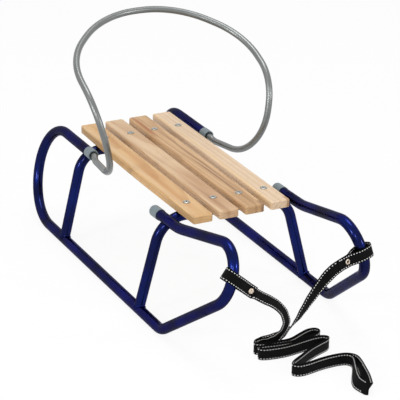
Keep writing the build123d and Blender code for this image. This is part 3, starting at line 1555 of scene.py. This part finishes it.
RIGHT_STRAND = Strand(
    side="right",
    ring=Vector((441.84, -141.06, 198.92)) * MM,
    axis=Vector((-0.1544, 0.2528, 0.9551)),
    rivet=Vector((448.0, -105.0, 169.0)) * MM,
    hang=[
        (447, -76, 147), (445, -61, 138), (443, -40, 121), (440, -25, 101), (435, -18, 81),
        (426, -15, 63), (412, -17, 44), (397, -21, 28), (383, -30, 15),
    ],
    floor=[
        (379.9, -44.9), (386.4, -56.9), (394.9, -59.9), (400.9, -45.4), (403.9, -18.9),
        (406.9, 8.6), (394.4, 34.1), (382.9, 61.1), (386.9, 80.1), (405.4, 78.6),
        (414.9, 51.6), (419.9, 17.1), (419.4, -18.9), (413, -46.9), (411, -63),
        (421.5, -60), (424.5, -40), (427, -8.9), (422, 22.6), (418, 46.6), (417.4, 68.6),
        (428, 83.6), (440, 75.5), (448.9, 51.1), (461.4, 22.1), (479.4, -5.9),
        (491.4, -27.9), (500.9, -36.4), (508.9, -28.4), (506.9, -5.4), (500.9, 25.1),
        (499.9, 57.1), (504.4, 80.1), (519.9, 92.1), (543.9, 86.1), (564.9, 78.1),
        (589.1, 70.1), (609.4, 62.1), (625.0, 55.1),
    ],
    hints=[
        (0.006, (-0.69, 0.35, 0.64)), (0.058, (-0.72, 0.38, 0.58)), (0.083, (-0.67, 0.51, 0.53)),
        (0.108, (-0.53, 0.74, 0.43)), (0.138, (-0.25, 0.94, 0.22)), (0.168, (-0.06, 0.99, -0.13)),
        (0.193, (0.01, 0.87, -0.49)), (0.223, (-0.1, 0.13, -0.98)), (0.248, (0.0, 0.0, -1.0)),
        (0.95, (0.0, 0.0, -1.0)), (1.06, (0.0, -0.6, -0.8)),
    ],
    cut_end=CutEnd.TOWARDS_VIEWER,
    cut_reach=9.0 * MM,
    stub_front=5.5 * MM,
)
LEFT_STRAND = Strand(
    side="left",
    ring=Vector((441.84, 141.06, 198.92)) * MM,
    axis=Vector((-0.1544, -0.2528, 0.9551)),
    rivet=Vector((452.0, 101.0, 191.0)) * MM,
    hang=[
        (456, 76.5, 185), (451, 63, 171), (443, 47, 145), (438, 32, 120), (432, 21, 96),
        (424, 13, 73), (413, 5, 52), (400, -6, 33), (384, -23, 16),
    ],
    floor=[
        (376.9, -42.9), (382.9, -58.9), (395.9, -64.9), (404.4, -45.9), (407.9, -18.9),
        (410.9, 9.6), (397.4, 36.1), (386.9, 61.1), (388.4, 77.6), (403.4, 78.1),
        (409.9, 51.1), (415.9, 17.1), (415.4, -18.9), (409, -46.9), (409, -66),
        (422.5, -65), (428.5, -39), (431, -8.9), (426, 23.6), (422, 47.6), (421.9, 66.6),
        (427.6, 79), (438, 73.5), (445.4, 52.6), (458.4, 20.1), (476.4, -7.9),
        (488.4, -29.9), (500.9, -41.4), (512.9, -29.4), (510.9, -4.4), (504.9, 25.1),
        (503.9, 57.1), (507.4, 76.6), (519.9, 83.6), (540.9, 73.1), (561.9, 61.1),
        (583.1, 50.6), (603.9, 44.1), (623.0, 49.6),
    ],
    hints=[
        (0.035, (-0.27, -0.74, 0.61)), (0.065, (-0.05, -0.84, 0.54)), (0.09, (0.12, -0.88, 0.45)),
        (0.12, (0.3, -0.91, 0.28)), (0.145, (0.45, -0.88, 0.13)), (0.172, (0.63, -0.77, -0.01)),
        (0.195, (0.81, -0.53, -0.25)), (0.225, (0.6, -0.2, -0.75)), (0.255, (0.0, 0.0, -1.0)),
        (0.98, (0.0, 0.0, -1.0)), (1.1, (0.0, -0.6, -0.8)),
    ],
    cut_end=CutEnd.AWAY,
    cut_reach=21.0 * MM,
    stub_front=8.0 * MM,
)


# ---- Seat


SLAT_WOODS = (
    SlatWood(
        name="wood_slat_1",
        pale=(0.72, 0.46, 0.215),
        tan=(0.585, 0.34, 0.14),
        line=(0.44, 0.215, 0.07),
        heart_y=-92.0 * MM,
        heart_z=150.0 * MM,
        rise=0.035,
        seed=1.3,
        stains=(
            Stain((0.50, 0.22, 0.06), -0.08, 0.16, -0.094, 0.010, 0.75, 0.08, -0.02),
            Stain((0.55, 0.27, 0.09), -0.30, 0.02, -0.080, 0.007, 0.6, 0.08, 0.01),
            Stain((0.74, 0.52, 0.30), -0.34, 0.2, -0.103, 0.008, 0.6, 0.05, 0.0),
        ),
    ),
    SlatWood(
        name="wood_slat_2",
        pale=(0.73, 0.53, 0.335),
        tan=(0.635, 0.425, 0.24),
        line=(0.46, 0.255, 0.12),
        heart_y=-14.0 * MM,
        heart_z=120.0 * MM,
        rise=0.02,
        seed=4.1,
        stains=(
            Stain((0.46, 0.245, 0.115), 0.0, 0.22, -0.026, 0.022, 0.9, 0.07, 0.0),
            Stain((0.33, 0.165, 0.075), 0.08, 0.22, -0.036, 0.005, 0.6, 0.05, 0.02),
        ),
    ),
    SlatWood(
        name="wood_slat_3",
        pale=(0.68, 0.445, 0.235),
        tan=(0.53, 0.315, 0.15),
        line=(0.36, 0.175, 0.07),
        heart_y=34.0 * MM,
        heart_z=188.0 * MM,
        ring_pitch=4.2 * MM,
        rise=0.012,
        seed=7.7,
        stains=(
            Stain((0.36, 0.125, 0.030), -0.33, -0.22, 0.014, 0.006, 0.95, 0.03, 0.0),
            Stain((0.20, 0.088, 0.032), -0.05, 0.22, 0.026, 0.0035, 0.95, 0.07, 0.02),
            Stain((0.25, 0.115, 0.045), -0.20, 0.1, 0.034, 0.004, 0.75, 0.09, 0.01),
            Stain((0.42, 0.235, 0.10), 0.13, 0.22, 0.028, 0.017, 0.8, 0.05, 0.0),
            Stain((0.20, 0.09, 0.04), 0.192, 0.22, 0.046, 0.006, 0.75, 0.006, 0.0),
        ),
    ),
    SlatWood(
        name="wood_slat_4",
        pale=(0.79, 0.61, 0.435),
        tan=(0.70, 0.505, 0.33),
        line=(0.57, 0.375, 0.215),
        heart_y=140.0 * MM,
        heart_z=170.0 * MM,
        ring_pitch=8.3 * MM,
        rise=0.022,
        wander=26.0 * MM,
        seed=11.9,
        stains=(
            Stain((0.76, 0.52, 0.26), -0.34, 0.22, 0.069, 0.0045, 0.7, 0.05, 0.0),
            Stain((0.35, 0.17, 0.06), 0.196, 0.22, 0.106, 0.004, 0.9, 0.006, 0.0),
        ),
    ),
)


# ---- Studio


@dataclass(frozen=True)
class Lamp:
    """Soft square lamp. Its radiance is the brightness of its face, where 1 is white."""

    name: str
    place: Triple
    size: float
    radiance: float

    def hang(self, target: Vector) -> None:
        """Hang the lamp.

        Args:
            target: Point that it faces.
        """
        data = bpy.data.lights.new(self.name, "AREA")
        data.size = self.size
        data.energy = self.radiance * math.pi * self.size * self.size
        lamp = bpy.data.objects.new(self.name, data)
        lamp.location = self.place
        aim = target - Vector(self.place)
        lamp.rotation_mode = "QUATERNION"
        lamp.rotation_quaternion = aim.to_track_quat("-Z", "Y")
        bpy.context.scene.collection.objects.link(lamp)


@dataclass
class Studio:
    """Camera at the photograph's place, pale floor and soft light.

    Angles are in degrees; picture, focal and centre are in pixels.
    """

    azimuth: float = 62.92
    elevation: float = 23.09
    roll: float = 0.96
    distance: float = 4151.74 * MM
    target: Vector = field(default_factory=lambda: Vector((-12.79, 18.7, 147.33)) * MM)
    picture: float = 400.0
    focal: float = 1980.16
    centre: Pair = (199.03, 203.0)
    sensor: float = 36.0
    floor_size: float = 12.0
    clip: Pair = (0.1, 50.0)
    floor_colour: Colour = (0.95, 0.95, 0.95)
    floor_glow: float = 0.9
    room_light: float = 0.56
    lamps: tuple[Lamp, ...] = (
        Lamp("top", (-0.3, 0.2, 3.0), 1.3, 5.1),
        Lamp("key", (2.9, -2.3, 2.4), 0.6, 22.0),
        Lamp("flank", (0.9, -3.2, 1.6), 0.6, 27.0),
        Lamp("side", (2.7, 1.9, 1.5), 0.5, 27.0),
    )

    def camera(self) -> None:
        """Place the camera."""
        azimuth, elevation, roll = (
            math.radians(angle) for angle in (self.azimuth, self.elevation, self.roll)
        )
        back = Vector(
            (
                math.sin(azimuth) * math.cos(elevation),
                -math.cos(azimuth) * math.cos(elevation),
                math.sin(elevation),
            )
        )
        right = (-back).cross(UP).normalized()
        upward = back.cross(right)
        turned_right = right * math.cos(roll) + upward * math.sin(roll)
        turned_up = upward * math.cos(roll) - right * math.sin(roll)
        data = bpy.data.cameras.new("camera")
        data.sensor_width = self.sensor
        data.lens = self.focal / self.picture * self.sensor
        data.shift_x = (self.picture / 2 - self.centre[0]) / self.picture
        data.shift_y = (self.centre[1] - self.picture / 2) / self.picture
        data.clip_start, data.clip_end = self.clip
        camera = bpy.data.objects.new("camera", data)
        camera.rotation_mode = "QUATERNION"
        turn = Matrix((turned_right, turned_up, back)).transposed()
        camera.rotation_quaternion = turn.to_quaternion()
        camera.location = self.target + back * self.distance
        bpy.context.scene.collection.objects.link(camera)
        bpy.context.scene.camera = camera

    def floor(self) -> None:
        """Lay the white floor, which keeps a soft shadow."""
        half = self.floor_size / 2
        corners = [Vector((x * half, y * half, 0)) for x, y in ((-1, -1), (1, -1), (1, 1), (-1, 1))]
        graph = Graph("floor")
        matt = graph.add("ShaderNodeBsdfDiffuse", {}, {"Color": (*self.floor_colour, 1.0)})
        glow = graph.add("ShaderNodeEmission", {}, {"Color": (1, 1, 1, 1), "Strength": 1.0})
        share = self.background_rays(graph) * self.floor_glow
        both = graph.add("ShaderNodeMixShader", {}, {0: share, 1: matt.out(0), 2: glow.out(0)})
        graph.add("ShaderNodeOutputMaterial", {}, {"Surface": both.out(0)})
        floor = make_object("floor", corners, [(0, 1, 2, 3)], graph.material)

    @staticmethod
    def background_rays(graph: Graph) -> Wire:
        """Tell the rays that show a background from those that light the scene.

        Args:
            graph: Graph that the test is added to.

        Returns:
            One for camera, glossy and transmission rays, else nought.
        """
        path = graph.add("ShaderNodeLightPath", {}, {})
        seen = path.out("Is Camera Ray").most(path.out("Is Glossy Ray"))
        return seen.most(path.out("Is Transmission Ray"))

    def world(self) -> None:
        """Light the room evenly and keep the background white."""
        world = bpy.data.worlds.new("room")
        bpy.context.scene.world = world
        world.use_nodes = True
        graph = Graph("room_rays", world.node_tree)
        seen = self.background_rays(graph)
        strength = self.room_light + seen * (1 - self.room_light)
        room = graph.add("ShaderNodeBackground", {}, {"Color": (1, 1, 1, 1), "Strength": strength})
        graph.add("ShaderNodeOutputWorld", {}, {"Surface": room.out(0)})

    def build(self) -> None:
        """Set up the whole studio."""
        bpy.context.scene.view_settings.view_transform = "Standard"
        self.camera()
        self.floor()
        self.world()
        for lamp in self.lamps:
            lamp.hang(self.target)
            LOG.info("lamp %s", lamp.name)


def dress(nodes: Iterable[str], finish: bpy.types.Material) -> None:
    """Give carried-over CAD nodes a finish.

    Args:
        nodes: Names of the nodes.
        finish: Their material.
    """
    for name in nodes:
        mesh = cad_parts[name].data
        mesh.materials.clear()
        mesh.materials.append(finish)
        LOG.info("dressed %s", name)


def main() -> None:
    """Build the sled and the studio."""
    logging.basicConfig(level=logging.INFO)
    Studio().build()
    blue = BluePaint().make()
    dress(["runner_right", "runner_left", "arch_front", "arch_rear"], blue)
    dress(["backrest"], SilverPaint().make())
    dress(["plug_right", "plug_left", "bush_right", "bush_left"], GreyPlastic().make())
    woods = [wood.make() for wood in SLAT_WOODS]
    BowedSlat(woods[0]).build()
    for number, wood in enumerate(woods[1:], start=2):
        dress([f"slat_{number}"], wood)
    SeatScrews(SCREW_ZINC.make()).build()
    WeldBeads(blue).build()
    ribbon = Ribbon(Webbing().make(), Thread().make())
    PullStrap(ribbon, RIVET_PLATE.make(), [RIGHT_STRAND, LEFT_STRAND]).build()


if __name__ == "__main__":
    main()
